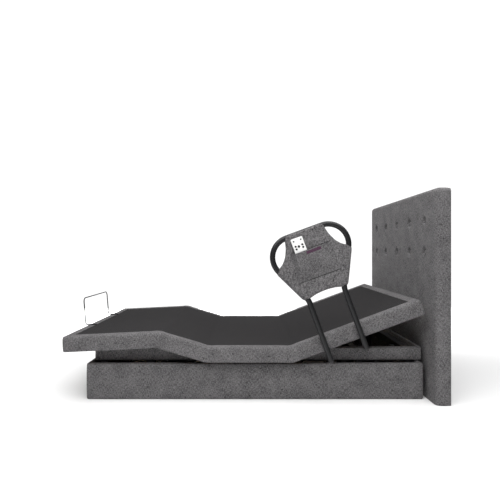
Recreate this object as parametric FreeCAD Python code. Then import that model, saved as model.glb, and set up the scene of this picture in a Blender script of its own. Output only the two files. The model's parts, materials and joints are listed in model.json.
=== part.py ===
"""Upholstered adjustable bed base with headboard, assist rail and handset.

Millimetres.  +X runs to the head end, -Y is the near side, +Z is up.
The origin is the underside of the centre support foot, at the middle of the outer base.
Every deck section is drawn lying flat and is then turned to its stored angle.
"""
import math
import os

import FreeCAD
import Part

V = FreeCAD.Vector

# ---- driving dimensions ------------------------------------------------------
DECK_TOP = 305.0
DECK_HALF = 535.0
HINGE_Z = 290.0
BACK_HINGE_X = 198.0
THIGH_HINGE_X = -258.0
HEAD_X = 958.0
KNEE_X = -544.0
FOOT_X = -1071.0
SKIRT_BOTTOM = 219.0
SKIRT_T = 22.0
BORDER = 52.0
PAD_T = 6.0
BOARD_T = 15.0
FOLD_GAP = 11.0
FRAME_T = 25.0
FRAME_W = 30.0
FRAME_HALF = 400.0
WALL = 2.0
PLATE_T = 8.0
OVER = 1.0
RUNNING_GAP = 0.06
LOOSE_GAP = 0.1

BACK_REST = 20.2
THIGH_REST = 16.4
KNEE_RATIO = -1.165

BASE_X = 944.0
BASE_HALF = 479.0
BASE_TOP = 201.0
BASE_T = 25.0
PLINTH_FOOT_X = -915.0
PLINTH_HEAD_X = 955.0
PLINTH_HALF = 426.0
PLINTH_LOW = 203.0
PLINTH_TOP = 282.0
PLINTH_SIDE_T = 18.0
PLINTH_FOOT_T = 26.0

RAIL_LOW = 205.0
RAIL_HIGH = 250.0
CHASSIS_IN = 368.0
CHASSIS_OUT = 408.0
CROSS_W = 40.0
CROSS_X = (-600.0, 0.0, 600.0)
LOW_CROSS_X = (-600.0, 600.0)
LOW_CROSS_Z = (50.0, 90.0)
LEG_X = (-869.0, -600.0, 600.0, 889.0)
LEG_HALF = 20.0
FOOT_H = 12.0
FOOT_R = 26.0
CENTRE_FOOT_R = 32.0
TAB_HALF = 15.0
TAB_Z = (100.0, 106.0)
REST_X = (-760.0, -400.0, 420.0, 800.0)
REST_Y = 380.0
REST_R = 14.0
REST_GAP = 1.5

HEADBOARD_X = 969.0
HEADBOARD_T = 83.0
HEADBOARD_HALF = 574.0
HEADBOARD_H = 1175.0
TUFT_Y = (-428.0, -214.0, 0.0, 214.0, 428.0)
TUFT_Z = (824.0, 1001.0)

LIFT_Z = 190.0
LIFT_OFFSET = 150.0
LEVER = 120.0
ACTUATOR_Z = LIFT_Z - LEVER
ACTUATOR_Y = 110.0
ARM_Y = 250.0
SHOE_R = 18.0
HEAD_ARM = 480.0
HEAD_ARM_REST = 18.89
HEAD_ARM_RATIO = 0.638
HEAD_CRANK_REACH = 224.0
HEAD_CRANK_DROP = 32.2
BACK_TRAVEL = 65.0
LEG_ARM = 340.0
LEG_ARM_REST = 16.63
LEG_ARM_RATIO = 0.497
LEG_CRANK_REACH = 170.0
LEG_CRANK_DROP = 28.0
THIGH_TRAVEL = 35.0

LINK_X = -648.0
LINK_Z = 232.0
LINK_LENGTH = 195.57
LINK_REST = 21.8
LINK_ALONG = 300.0
LINK_DROP = 52.0
LINK_Y = 351.0

RAIL_X = 481.0
RAIL_Y = -557.0
RAIL_R = 15.0
RAIL_LEG_HALF = 101.5
RAIL_FOOT_N = -140.0
RAIL_BEND_N = 212.0
RAIL_TOP_N = 568.0
RAIL_SLANT = 26.7
RAIL_LOBE_R = 110.0
RAIL_BEND_R = 80.0
RAIL_BOLT_Z = (232.0, 250.0)
RAIL_BOLT_R = 4.0
SPACER_R = 11.0

PAD_HALF_DEPTH = 19.0
PAD_OUTLINE = ((112, 583), (113, 560), (124, 515), (143, 472), (170, 440), (199, 422),
               (219, 402), (129, 216), (99, 215), (50, 227))
PAD_LOW_MIDDLE = 231.0
POCKET_LOW_N = 314.0
POCKET_TOP_N = 473.0
POCKET_HALF = 113.0
POCKET_T = 3.0
TAG_L = 84.0
TAG_W = 20.0
TAG_T = 1.2
TAG_DROP = 7.0

HANDSET_W = 64.0
HANDSET_L = 150.0
HANDSET_T = 20.0
HANDSET_DX = -54.0
HANDSET_TOP_N = 551.0
HANDSET_CLEAR = 1.0
HANDSET_EDGE_R = 6.0
BUTTON_PROUD = 1.6
BUTTON_DEPTH = 4.0
BUTTON_GAP = 0.3
BUTTONS = {"top_left": (-20, 15, 4.0), "top_right": (20, 15, 4.0), "centre": (-2, 48, 6.5),
           "left_upper": (-19, 43, 5.5), "left_lower": (-19, 58, 5.5),
           "right_upper": (19, 43, 5.5), "right_lower": (19, 58, 5.5)}

RETAINER_HALF = 202.0
RETAINER_R = 3.5
RETAINER_H = 172.0
RETAINER_INSET = 66.0
RETAINER_OVERHANG = 6.0


# ---- helpers -----------------------------------------------------------------
def box(x0, x1, y0, y1, z0, z1):
    return Part.makeBox(x1 - x0, y1 - y0, z1 - z0, V(x0, y0, z0))


def rod(start, direction, radius, length):
    return Part.makeCylinder(radius, length, V(*start), V(*direction))


def prism_y(points, y0, y1):
    """A polygon of (x, z) points carried from y0 to y1."""
    loop = [V(x, y0, z) for x, z in points]
    return Part.Face(Part.makePolygon(loop + loop[:1])).extrude(V(0, y1 - y0, 0))


def hollow_x(x0, x1, y0, y1, z0, z1):
    inner = box(x0 - OVER, x1 + OVER, y0 + WALL, y1 - WALL, z0 + WALL, z1 - WALL)
    return box(x0, x1, y0, y1, z0, z1).cut(inner)


def hollow_y(x0, x1, y0, y1, z0, z1):
    inner = box(x0 + WALL, x1 - WALL, y0 - OVER, y1 + OVER, z0 + WALL, z1 - WALL)
    return box(x0, x1, y0, y1, z0, z1).cut(inner)


def hollow_z(x, y, half, z0, z1):
    outer = box(x - half, x + half, y - half, y + half, z0, z1)
    bore = half - WALL
    return outer.cut(box(x - bore, x + bore, y - bore, y + bore, z0 - OVER, z1 + OVER))


def fillet_where(shape, radius, wanted):
    """Round the edges whose middle point passes the test."""
    edges = [e for e in shape.Edges if wanted(e.CenterOfMass)]
    return shape.makeFillet(radius, edges)


def turned(shape, x, z, degrees):
    """Turn about a line along Y; positive lifts the +X side."""
    result = shape.copy()
    result.rotate(V(x, 0, z), V(0, -1, 0), degrees)
    return result


def back(shape):
    return turned(shape, BACK_HINGE_X, HINGE_Z, BACK_REST)


def thigh(shape):
    return turned(shape, THIGH_HINGE_X, HINGE_Z, -THIGH_REST)


def calf(shape):
    return thigh(turned(shape, KNEE_X, HINGE_Z, -KNEE_RATIO * THIGH_REST))


def mirrored(shape):
    return shape.mirror(V(0, 0, 0), V(0, 1, 0))


def mirrored_x(shape):
    return shape.mirror(V(0, 0, 0), V(1, 0, 0))


def both(shape):
    return [shape, mirrored(shape)]


def path(corners, radii):
    """A wire through the corners, each inner corner rounded by its radius."""
    edges = []
    start = corners[0]
    for before, corner, after, radius in zip(corners, corners[1:], corners[2:], radii):
        to_before = (before - corner).normalize()
        to_after = (after - corner).normalize()
        half = to_before.getAngle(to_after) / 2
        bisector = (to_before + to_after).normalize()
        reach = radius / math.tan(half)
        tangent_in = corner + to_before * reach
        tangent_out = corner + to_after * reach
        middle = corner + bisector * (radius / math.sin(half) - radius)
        edges.append(Part.makeLine(start, tangent_in))
        edges.append(Part.Arc(tangent_in, middle, tangent_out).toShape())
        start = tangent_out
    edges.append(Part.makeLine(start, corners[-1]))
    return Part.Wire(edges)


def sweep(wire, radius):
    first = wire.Edges[0]
    tangent = first.tangentAt(first.FirstParameter)
    circle = Part.Wire([Part.makeCircle(radius, first.valueAt(first.FirstParameter), tangent)])
    return wire.makePipeShell([circle], True, True)


def export(node, shapes, place=None):
    solids = shapes if isinstance(shapes, list) else [shapes]
    if place:
        solids = [place(s) for s in solids]
    shape = solids[0] if len(solids) == 1 else Part.makeCompound(solids)
    shape.exportStep(f"parts/{node}.step")


# ---- deck sections -----------------------------------------------------------
BOARD_LOW = DECK_TOP - PAD_T - BOARD_T
BOARD_HIGH = DECK_TOP - PAD_T
FRAME_LOW = BOARD_LOW - FRAME_T
SKIRT_IN = DECK_HALF - SKIRT_T
PANEL_HALF = DECK_HALF - BORDER
OUTER_RAIL_Y = 475.0
SKIRT_EDGE_R = 8.0
STRIP_LAP = 2.0
TOUCH = 0.1


def deck_board(x0, x1):
    return box(x0, x1, -SKIRT_IN, SKIRT_IN, BOARD_LOW, BOARD_HIGH)


def top_panel(x0, x1):
    return box(x0, x1, -PANEL_HALF, PANEL_HALF, BOARD_HIGH, DECK_TOP)


def side_skirt(profile, x0, x1):
    """Padded skirt with its border strip, on the +Y side."""
    slab = prism_y(profile, SKIRT_IN, DECK_HALF)
    slab = fillet_where(slab, SKIRT_EDGE_R,
                        lambda m: m.y > DECK_HALF - TOUCH and m.z > DECK_TOP - TOUCH)
    strip = box(x0, x1, PANEL_HALF, SKIRT_IN + STRIP_LAP, BOARD_HIGH, DECK_TOP)
    return slab.fuse(strip).removeSplitter()


def section_frame(x0, x1, rail_y, outer_x0, outer_x1):
    """Two cross tubes, two inner rails between them and two outer rails."""
    tubes = [hollow_y(x, x + FRAME_W, -FRAME_HALF, FRAME_HALF, FRAME_LOW, BOARD_LOW)
             for x in (x0, x1 - FRAME_W)]
    inner = hollow_x(x0 + FRAME_W, x1 - FRAME_W, rail_y - FRAME_W / 2, rail_y + FRAME_W / 2,
                     FRAME_LOW, BOARD_LOW)
    outer = hollow_x(outer_x0, outer_x1, OUTER_RAIL_Y, OUTER_RAIL_Y + FRAME_W, FRAME_LOW, BOARD_LOW)
    return tubes + both(inner) + both(outer)


# ---- hinges between sections ---------------------------------------------------
HINGE_Y = (-345.0, -115.0, 115.0, 345.0)
PIN_R = 4.0
BARREL_R = 7.0
LEAF_T = 3.0
KNUCKLE = 24.0
LEAF_REACH = 52.0
LEAF_SETBACK = 3.0
KNUCKLE_GAP = 0.4


def hinge_leaf(x, y, side, outer):
    """One leaf: its knuckles round the pin and a plate screwed under the board."""
    spans = ((-1.5, -0.5), (0.5, 1.5)) if outer else ((-0.5, 0.5),)
    pieces = []
    for low, high in spans:
        y0 = y + low * KNUCKLE + KNUCKLE_GAP
        y1 = y + high * KNUCKLE - KNUCKLE_GAP
        barrel = rod((x, y0, HINGE_Z), (0, 1, 0), BARREL_R, y1 - y0)
        near, far = sorted((x, x + side * (FOLD_GAP + LEAF_REACH)))
        web = box(*sorted((x, x + side * BARREL_R)), y0, y1, BOARD_LOW - LEAF_T, HINGE_Z)
        plate_near = near if side < 0 else near + LEAF_SETBACK
        plate_far = far - LEAF_SETBACK if side < 0 else far
        plate = box(plate_near, plate_far, y0, y1, BOARD_LOW - LEAF_T, BOARD_LOW)
        pieces.append(barrel.fuse([web, plate]))
    base = x + side * (FOLD_GAP + LEAF_REACH / 2)
    x0, x1 = sorted((base, x + side * (FOLD_GAP + LEAF_REACH)))
    tie = box(x0, x1, y - 1.5 * KNUCKLE, y + 1.5 * KNUCKLE, BOARD_LOW - LEAF_T, BOARD_LOW)
    hole_r = PIN_R if outer else PIN_R + RUNNING_GAP
    bore = rod((x, y - 2 * KNUCKLE, HINGE_Z), (0, 1, 0), hole_r, 4 * KNUCKLE)
    return pieces[0].fuse(pieces[1:] + [tie]).cut(bore).removeSplitter()


def hinge_pins(x):
    start = 1.5 * KNUCKLE - KNUCKLE_GAP
    return [rod((x, y - start, HINGE_Z), (0, 1, 0), PIN_R, 2 * start) for y in HINGE_Y]


# ---- lift weldments and actuators ----------------------------------------------
STUB_R = 10.0
STUB_END = 368.0
TORQUE_R = 20.0
TORQUE_WALL = 2.5
TORQUE_END = 358.0
TORQUE_CORE = 348.0
ARM_HALF_W = 14.0
LEVER_HALF_W = 17.0
LEVER_HALF_T = 5.0
LEVER_LENGTH = 1.25 * LEVER
ROD_PIN_R = 6.0
SLOT_GAP = 0.8
SLOT_END_GAP = 1.0
SLOT_REACH = 1.07 * LEVER
SHOE_PIN_R = 6.0
SHOE_HALF_W = 14.0
SHOE_SIDE_GAP = 0.2

TAIL_X = -560.0
TAIL_PIN_R = 6.0
TAIL_HALF_H = 14.0
LUG_X = (-575.0, -545.0)
LUG_HALF_T = 10.0
GEARBOX_X = (-545.0, -500.0)
GEARBOX_HALF_W = 30.0
GEARBOX_RISE = 90.0
GEARBOX_EDGE_R = 6.0
MOTOR_RISE = 58.0
MOTOR_R = 27.0
MOTOR_START_X = -505.0
MOTOR_L = 115.0
MOTOR_CAP_R = 20.0
MOTOR_CAP_L = 8.0
OUTER_TUBE_R = 20.0
TUBE_BORE_X = -490.0
BORE_PAST_END = 10.0
ROD_R = 12.0
FORK_HALF_H = 14.0
FORK_HALF_W = 15.0
FORK_SLOT_HALF = 6.0
FORK_THROAT = 28.0
FORK_BACK = 38.0
FORK_NOSE = 14.0
ROD_PIN_HALF = 17.0
HEAD_TUBE_END = -45.0
HEAD_ROD_BACK = -400.0
LEG_TUBE_END = 50.0
LEG_ROD_BACK = -380.0
CHEEK_X = (-580.0, -545.0)
CHEEK_HALF_H = 18.0
CHEEK_OUT = 18.5
BEARING_HALF_W = 25.0
BEARING_DROP = 28.0


def lever_pose(ratio, section_rest, travel):
    """Lever angle from vertical and rod-pin distance at the stored pose, lifting toward +X."""
    lever_angle = math.radians(ratio * (section_rest - travel / 2))
    half_swing = math.radians(ratio * travel / 2)
    pin_shift = LEVER * (1 + half_swing ** 2 / 4) * lever_angle
    return math.degrees(lever_angle), pin_shift


def lift_arm(pivot_x, arm, rest, crank_reach, crank_drop):
    """Cranked flat arm from the torque tube to the shoe, drawn in the XZ plane."""
    angle = math.radians(rest)
    bend = math.radians(rest - crank_drop)
    hub = (pivot_x, LIFT_Z)
    knee = (pivot_x + crank_reach * math.cos(bend), LIFT_Z + crank_reach * math.sin(bend))
    tip = (pivot_x + arm * math.cos(angle), LIFT_Z + arm * math.sin(angle))
    pieces = []
    for start, end in ((hub, knee), (knee, tip)):
        run = math.hypot(end[0] - start[0], end[1] - start[1])
        slope = math.degrees(math.atan2(end[1] - start[1], end[0] - start[0]))
        bar = box(start[0], start[0] + run, -PLATE_T / 2, PLATE_T / 2,
                  start[1] - ARM_HALF_W, start[1] + ARM_HALF_W)
        pieces.append(turned(bar, start[0], start[1], slope))
        pieces.append(rod((end[0], -PLATE_T / 2, end[1]), (0, 1, 0), ARM_HALF_W, PLATE_T))
    hole = rod((tip[0], -PLATE_T, tip[1]), (0, 1, 0), SHOE_PIN_R + LOOSE_GAP, 2 * PLATE_T)
    return pieces[0].fuse(pieces[1:]).cut(hole), tip


def cross_bar(x, z, radius, half_length):
    """A round bar along Y, centred on the middle plane."""
    return rod((x, -half_length, z), (0, 1, 0), radius, 2 * half_length)


def slotted_lever(pivot_x, y, angle):
    """Flat lever hanging from the torque tube, with a slot for the rod's pin."""
    slot_half = ROD_PIN_R + SLOT_GAP
    plate = box(pivot_x - LEVER_HALF_W, pivot_x + LEVER_HALF_W, y - LEVER_HALF_T, y + LEVER_HALF_T,
                LIFT_Z - LEVER_LENGTH, LIFT_Z)
    slot = box(pivot_x - slot_half, pivot_x + slot_half, y - LEVER_HALF_T - OVER,
               y + LEVER_HALF_T + OVER, LIFT_Z - SLOT_REACH - slot_half - SLOT_END_GAP,
               LIFT_Z - LEVER + slot_half + SLOT_END_GAP)
    return turned(plate.cut(slot), pivot_x, LIFT_Z, angle)


def lift_weldment(pivot_x, arm_plate, lever):
    """Torque tube with its stubs, two cranked arms and one slotted lever."""
    bore = cross_bar(pivot_x, LIFT_Z, TORQUE_R - TORQUE_WALL, TORQUE_CORE)
    tube = cross_bar(pivot_x, LIFT_Z, TORQUE_R, TORQUE_END).cut(bore)
    core = cross_bar(pivot_x, LIFT_Z, TORQUE_R, TORQUE_CORE)
    stubs = cross_bar(pivot_x, LIFT_Z, STUB_R, STUB_END).cut(core)
    arms = []
    for y in (-ARM_Y, ARM_Y):
        plate = arm_plate.copy()
        plate.translate(V(0, y, 0))
        arms.append(plate)
    return tube.fuse([stubs, lever] + arms).cut(bore).removeSplitter()


def lift_shoes(tip):
    """Nylon spools on the arm tips that bear on the section's track rails."""
    shoes = []
    groove_half = PLATE_T / 2 + SHOE_SIDE_GAP
    for y in (-ARM_Y, ARM_Y):
        shoe = rod((tip[0], y - SHOE_HALF_W, tip[1]), (0, 1, 0), SHOE_R, 2 * SHOE_HALF_W)
        groove = rod((tip[0], y - groove_half, tip[1]), (0, 1, 0), SHOE_R + OVER, 2 * groove_half)
        hub = rod((tip[0], y - SHOE_HALF_W, tip[1]), (0, 1, 0), SHOE_PIN_R, 2 * SHOE_HALF_W)
        shoes.append(shoe.cut(groove.cut(hub)))
    return shoes


def actuator_body(y, tube_end):
    """Tail lug, gearbox, motor can and outer tube, pointing toward +X."""
    motor_z = ACTUATOR_Z + MOTOR_RISE
    gearbox_x = sum(GEARBOX_X) / 2
    lug = box(*LUG_X, y - LUG_HALF_T, y + LUG_HALF_T, ACTUATOR_Z - TAIL_HALF_H, ACTUATOR_Z + TAIL_HALF_H)
    gearbox = box(*GEARBOX_X, y - GEARBOX_HALF_W, y + GEARBOX_HALF_W,
                  ACTUATOR_Z - GEARBOX_HALF_W, ACTUATOR_Z + GEARBOX_RISE)
    gearbox = fillet_where(gearbox, GEARBOX_EDGE_R,
                           lambda m: abs(abs(m.y - y) - GEARBOX_HALF_W) < TOUCH
                           and abs(m.x - gearbox_x) < TOUCH)
    motor = rod((MOTOR_START_X, y, motor_z), (1, 0, 0), MOTOR_R, MOTOR_L)
    motor_cap = rod((MOTOR_START_X + MOTOR_L, y, motor_z), (1, 0, 0), MOTOR_CAP_R, MOTOR_CAP_L)
    tube = rod((MOTOR_START_X, y, ACTUATOR_Z), (1, 0, 0), OUTER_TUBE_R, tube_end - MOTOR_START_X)
    bore = rod((TUBE_BORE_X, y, ACTUATOR_Z), (1, 0, 0), ROD_R + RUNNING_GAP,
               tube_end - TUBE_BORE_X + BORE_PAST_END)
    pin_hole = rod((TAIL_X, y - 2 * LUG_HALF_T, ACTUATOR_Z), (0, 1, 0), TAIL_PIN_R + LOOSE_GAP,
                   4 * LUG_HALF_T)
    return lug.fuse([gearbox, motor, motor_cap, tube]).cut(bore).cut(pin_hole).removeSplitter()


def actuator_rod(y, pin_x, back_x):
    """Rod with its fork, and the cross pin that rides in the lever's slot."""
    shaft = rod((back_x, y, ACTUATOR_Z), (1, 0, 0), ROD_R, pin_x - FORK_THROAT - back_x)
    fork = box(pin_x - FORK_BACK, pin_x + FORK_NOSE, y - FORK_HALF_W, y + FORK_HALF_W,
               ACTUATOR_Z - FORK_HALF_H, ACTUATOR_Z + FORK_HALF_H)
    throat = box(pin_x - FORK_THROAT, pin_x + FORK_NOSE + OVER, y - FORK_SLOT_HALF, y + FORK_SLOT_HALF,
                 ACTUATOR_Z - FORK_HALF_H - OVER, ACTUATOR_Z + FORK_HALF_H + OVER)
    bore = rod((pin_x, y - FORK_HALF_W - OVER, ACTUATOR_Z), (0, 1, 0), ROD_PIN_R,
               2 * (FORK_HALF_W + OVER))
    pin = rod((pin_x, y - ROD_PIN_HALF, ACTUATOR_Z), (0, 1, 0), ROD_PIN_R, 2 * ROD_PIN_HALF)
    return [shaft.fuse(fork.cut(throat)).cut(bore).removeSplitter(), pin]


def clevis(y):
    """Two cheeks on the lower cross member for an actuator's tail."""
    cheeks = []
    for y0 in (y - CHEEK_OUT, y + CHEEK_OUT - PLATE_T):
        cheek = box(*CHEEK_X, y0, y0 + PLATE_T, ACTUATOR_Z - CHEEK_HALF_H, ACTUATOR_Z + CHEEK_HALF_H)
        hole = rod((TAIL_X, y0 - OVER, ACTUATOR_Z), (0, 1, 0), TAIL_PIN_R + LOOSE_GAP, PLATE_T + 2 * OVER)
        cheeks.append(cheek.cut(hole))
    return cheeks


def bearing_plates(x, z, z_low, stub_r):
    """A plate inside each side rail, bored for a stub."""
    plate = box(x - BEARING_HALF_W, x + BEARING_HALF_W, CHASSIS_IN - PLATE_T, CHASSIS_IN, z_low, RAIL_HIGH)
    hole = rod((x, CHASSIS_IN - PLATE_T - OVER, z), (0, 1, 0), stub_r + RUNNING_GAP, PLATE_T + 2 * OVER)
    return both(plate.cut(hole))


# ---- build -------------------------------------------------------------------
os.makedirs("parts", exist_ok=True)

# outer base and inner plinth
BASE_EDGE_R = 10.0
PLINTH_EDGE_R = 8.0
base_end_half = BASE_HALF - BASE_T
base_side = box(-BASE_X, BASE_X, base_end_half, BASE_HALF, 0, BASE_TOP)
base_side = fillet_where(base_side, BASE_EDGE_R,
                         lambda m: m.y > BASE_HALF - TOUCH and abs(m.z - BASE_TOP / 2) < TOUCH)
base_ends = [box(x, x + BASE_T, -base_end_half, base_end_half, 0, BASE_TOP)
             for x in (-BASE_X, BASE_X - BASE_T)]
export("outer_base_panels", both(base_side) + base_ends)

plinth_side_x0 = PLINTH_FOOT_X + PLINTH_FOOT_T
plinth_head_x0 = PLINTH_HEAD_X - PLINTH_SIDE_T
plinth_in = PLINTH_HALF - PLINTH_SIDE_T
plinth_side = box(plinth_side_x0, PLINTH_HEAD_X, plinth_in, PLINTH_HALF, PLINTH_LOW, PLINTH_TOP)
plinth_foot = box(PLINTH_FOOT_X, plinth_side_x0, -PLINTH_HALF, PLINTH_HALF, PLINTH_LOW, PLINTH_TOP)
plinth_foot = fillet_where(plinth_foot, PLINTH_EDGE_R,
                           lambda m: m.x < PLINTH_FOOT_X + TOUCH and abs(m.y) > plinth_in)
plinth_head = box(plinth_head_x0, PLINTH_HEAD_X, -plinth_in, plinth_in, PLINTH_LOW, PLINTH_TOP)
export("inner_plinth_sides", both(plinth_side))
export("inner_plinth_ends", [plinth_foot, plinth_head])

# steel chassis
FOOT_CROSS_W = 27.0
rail_mid_y = (CHASSIS_IN + CHASSIS_OUT) / 2
export("chassis_side_rails", both(hollow_x(plinth_side_x0, plinth_head_x0, CHASSIS_IN, CHASSIS_OUT,
                                           RAIL_LOW, RAIL_HIGH)))
cross_spans = [(x - CROSS_W / 2, x + CROSS_W / 2) for x in CROSS_X]
cross_spans.append((plinth_side_x0, plinth_side_x0 + FOOT_CROSS_W))
cross_spans.append((plinth_head_x0 - CROSS_W, plinth_head_x0))
cross = [hollow_y(x0, x1, -CHASSIS_IN, CHASSIS_IN, RAIL_LOW, RAIL_HIGH) for x0, x1 in cross_spans]
cross += [hollow_y(x - CROSS_W / 2, x + CROSS_W / 2, -CHASSIS_IN, CHASSIS_IN, *LOW_CROSS_Z)
          for x in LOW_CROSS_X]
export("chassis_cross_members", cross)

leg_places = [(x, y) for x in LEG_X for y in (-rail_mid_y, rail_mid_y)]
legs = [hollow_z(x, y, LEG_HALF, FOOT_H, RAIL_LOW) for x, y in leg_places + [(0, 0)]]
export("chassis_legs", legs)
feet = [rod((x, y, 0), (0, 0, 1), FOOT_R, FOOT_H) for x, y in leg_places]
feet.append(rod((0, 0, 0), (0, 0, 1), CENTRE_FOOT_R, FOOT_H))
export("chassis_feet", feet)
export("deck_rests", [rod((x, y, RAIL_HIGH), (0, 0, 1), REST_R, BOARD_LOW - REST_GAP - RAIL_HIGH)
                      for x in REST_X for y in (-REST_Y, REST_Y)])

# tabs that hold the outer panels to the legs
tabs = []
for x in LEG_X:
    tabs += both(box(x - TAB_HALF, x + TAB_HALF, CHASSIS_OUT, base_end_half, *TAB_Z))
for y in (-rail_mid_y, rail_mid_y):
    tabs.append(box(-BASE_X + BASE_T, LEG_X[0] - LEG_HALF, y - TAB_HALF, y + TAB_HALF, *TAB_Z))

# bearings and clevises of the lifts
LINK_STUB_R = 8.0
head_pivot_x = BACK_HINGE_X - LIFT_OFFSET
leg_pivot_x = THIGH_HINGE_X + LIFT_OFFSET
brackets = bearing_plates(head_pivot_x, LIFT_Z, LIFT_Z - BEARING_DROP, STUB_R)
brackets += bearing_plates(leg_pivot_x, LIFT_Z, LIFT_Z - BEARING_DROP, STUB_R)
brackets += bearing_plates(LINK_X, LINK_Z, RAIL_LOW, LINK_STUB_R)
brackets += clevis(-ACTUATOR_Y)
brackets += [mirrored_x(cheek) for cheek in clevis(ACTUATOR_Y)]

# power units on a ribbed tray that stands out from the head-end lower cross member
UNIT_X = (640.0, 800.0)
UNIT_Z = (93.0, 143.0)
UNIT_EDGE_R = 6.0
CONTROL_Y = (-70.0, 70.0)
SUPPLY_Y = (110.0, 190.0)
INLET_DEPTH = 15.0
INLET_HALF_W = 14.0
INLET_HALF_H = 11.0
INLET_PIN_R = 2.0
INLET_PIN_L = 10.0
INLET_PIN_Y = 6.0
TRAY_X = (580.0, 830.0)
TRAY_Y = (-90.0, 210.0)
TRAY_T = 3.0
RIB_X = (620.0, 810.0)
RIB_Y = (-60.0, 180.0)
RIB_T = 4.0
RIB_H = 30.0
unit_mid_z = sum(UNIT_Z) / 2
supply_mid_y = sum(SUPPLY_Y) / 2
inlet_x = UNIT_X[1] - INLET_DEPTH
export("control_box", fillet_where(box(*UNIT_X, *CONTROL_Y, *UNIT_Z), UNIT_EDGE_R,
                                   lambda m: abs(m.z - unit_mid_z) < TOUCH))
supply = fillet_where(box(*UNIT_X, *SUPPLY_Y, *UNIT_Z), UNIT_EDGE_R,
                      lambda m: abs(m.z - unit_mid_z) < TOUCH)
supply = supply.cut(box(inlet_x, UNIT_X[1] + OVER, supply_mid_y - INLET_HALF_W,
                        supply_mid_y + INLET_HALF_W, unit_mid_z - INLET_HALF_H, unit_mid_z + INLET_HALF_H))
pins = [rod((inlet_x, supply_mid_y + dy, unit_mid_z), (1, 0, 0), INLET_PIN_R, INLET_PIN_L)
        for dy in (-INLET_PIN_Y, INLET_PIN_Y)]
export("power_supply", supply.fuse(pins))
tray_low = UNIT_Z[0] - TRAY_T
tray = [box(*TRAY_X, *TRAY_Y, tray_low, UNIT_Z[0])]
tray += [box(*RIB_X, y, y + RIB_T, tray_low - RIB_H, tray_low) for y in RIB_Y]
export("chassis_brackets", brackets + tabs + tray)

# seat section, fixed to the chassis
VALLEY_GAP = 2.0
SKIRT_BREAK_Z = HINGE_Z - 2.0
SEAT_TUBES_X = (-185.0, 125.0)
SEAT_RAIL_Y = 320.0
SEAT_POST_HALF = 12.0
seat_x0 = THIGH_HINGE_X + FOLD_GAP
seat_x1 = BACK_HINGE_X - FOLD_GAP
export("seat_board", deck_board(seat_x0, seat_x1))
export("seat_top_panel", top_panel(seat_x0, seat_x1))
seat_low_x0 = THIGH_HINGE_X + VALLEY_GAP
seat_low_x1 = BACK_HINGE_X - VALLEY_GAP
seat_profile = [(seat_x0, DECK_TOP), (seat_low_x0, SKIRT_BREAK_Z), (seat_low_x0, SKIRT_BOTTOM),
                (seat_low_x1, SKIRT_BOTTOM), (seat_low_x1, SKIRT_BREAK_Z), (seat_x1, DECK_TOP)]
export("seat_skirts", both(side_skirt(seat_profile, seat_x0, seat_x1)))
seat_frame = section_frame(*SEAT_TUBES_X, SEAT_RAIL_Y, *SEAT_TUBES_X)
seat_frame += [box(x, x + FRAME_W, y - SEAT_POST_HALF, y + SEAT_POST_HALF, RAIL_HIGH, FRAME_LOW)
               for x in (SEAT_TUBES_X[0], SEAT_TUBES_X[1] - FRAME_W) for y in (-rail_mid_y, rail_mid_y)]
export("seat_frame", seat_frame)
export("seat_hinge_leaves", [hinge_leaf(BACK_HINGE_X, y, -1, True) for y in HINGE_Y]
       + [hinge_leaf(THIGH_HINGE_X, y, 1, True) for y in HINGE_Y])
tail_pins = [rod((x, y - 2 * LUG_HALF_T, ACTUATOR_Z), (0, 1, 0), TAIL_PIN_R, 4 * LUG_HALF_T)
             for x, y in ((TAIL_X, -ACTUATOR_Y), (-TAIL_X, ACTUATOR_Y))]
export("base_pins", hinge_pins(BACK_HINGE_X) + hinge_pins(THIGH_HINGE_X) + tail_pins)

# headboard
HEADBOARD_EDGE_R = 26.0
DIMPLE_R = 34.0
DIMPLE_DEPTH = 14.0
COVERED_BUTTON_R = 12.0
BUTTON_DOME_R = 16.0
DOME_SINK = 8.0
SPACER_Y = (270.0, 330.0)
SPACER_Z = (70.0, 160.0)
headboard = box(HEADBOARD_X, HEADBOARD_X + HEADBOARD_T, -HEADBOARD_HALF, HEADBOARD_HALF, 0, HEADBOARD_H)
headboard = fillet_where(headboard, HEADBOARD_EDGE_R,
                         lambda m: m.z > HEADBOARD_H - TOUCH
                         or (abs(m.y) > HEADBOARD_HALF - TOUCH and abs(m.z - HEADBOARD_H / 2) < TOUCH))
covered_buttons = []
for tuft_z in TUFT_Z:
    for tuft_y in TUFT_Y:
        headboard = headboard.cut(Part.makeCone(DIMPLE_R, COVERED_BUTTON_R, DIMPLE_DEPTH,
                                                V(HEADBOARD_X, tuft_y, tuft_z), V(1, 0, 0)))
        dome = Part.makeSphere(BUTTON_DOME_R, V(HEADBOARD_X + DIMPLE_DEPTH + DOME_SINK, tuft_y, tuft_z))
        keep = rod((HEADBOARD_X, tuft_y, tuft_z), (1, 0, 0), COVERED_BUTTON_R - BUTTON_GAP, DIMPLE_DEPTH)
        covered_buttons.append(dome.common(keep))
export("headboard", headboard)
export("headboard_buttons", covered_buttons)
export("headboard_spacers", both(box(BASE_X, HEADBOARD_X, *SPACER_Y, *SPACER_Z)))

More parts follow.
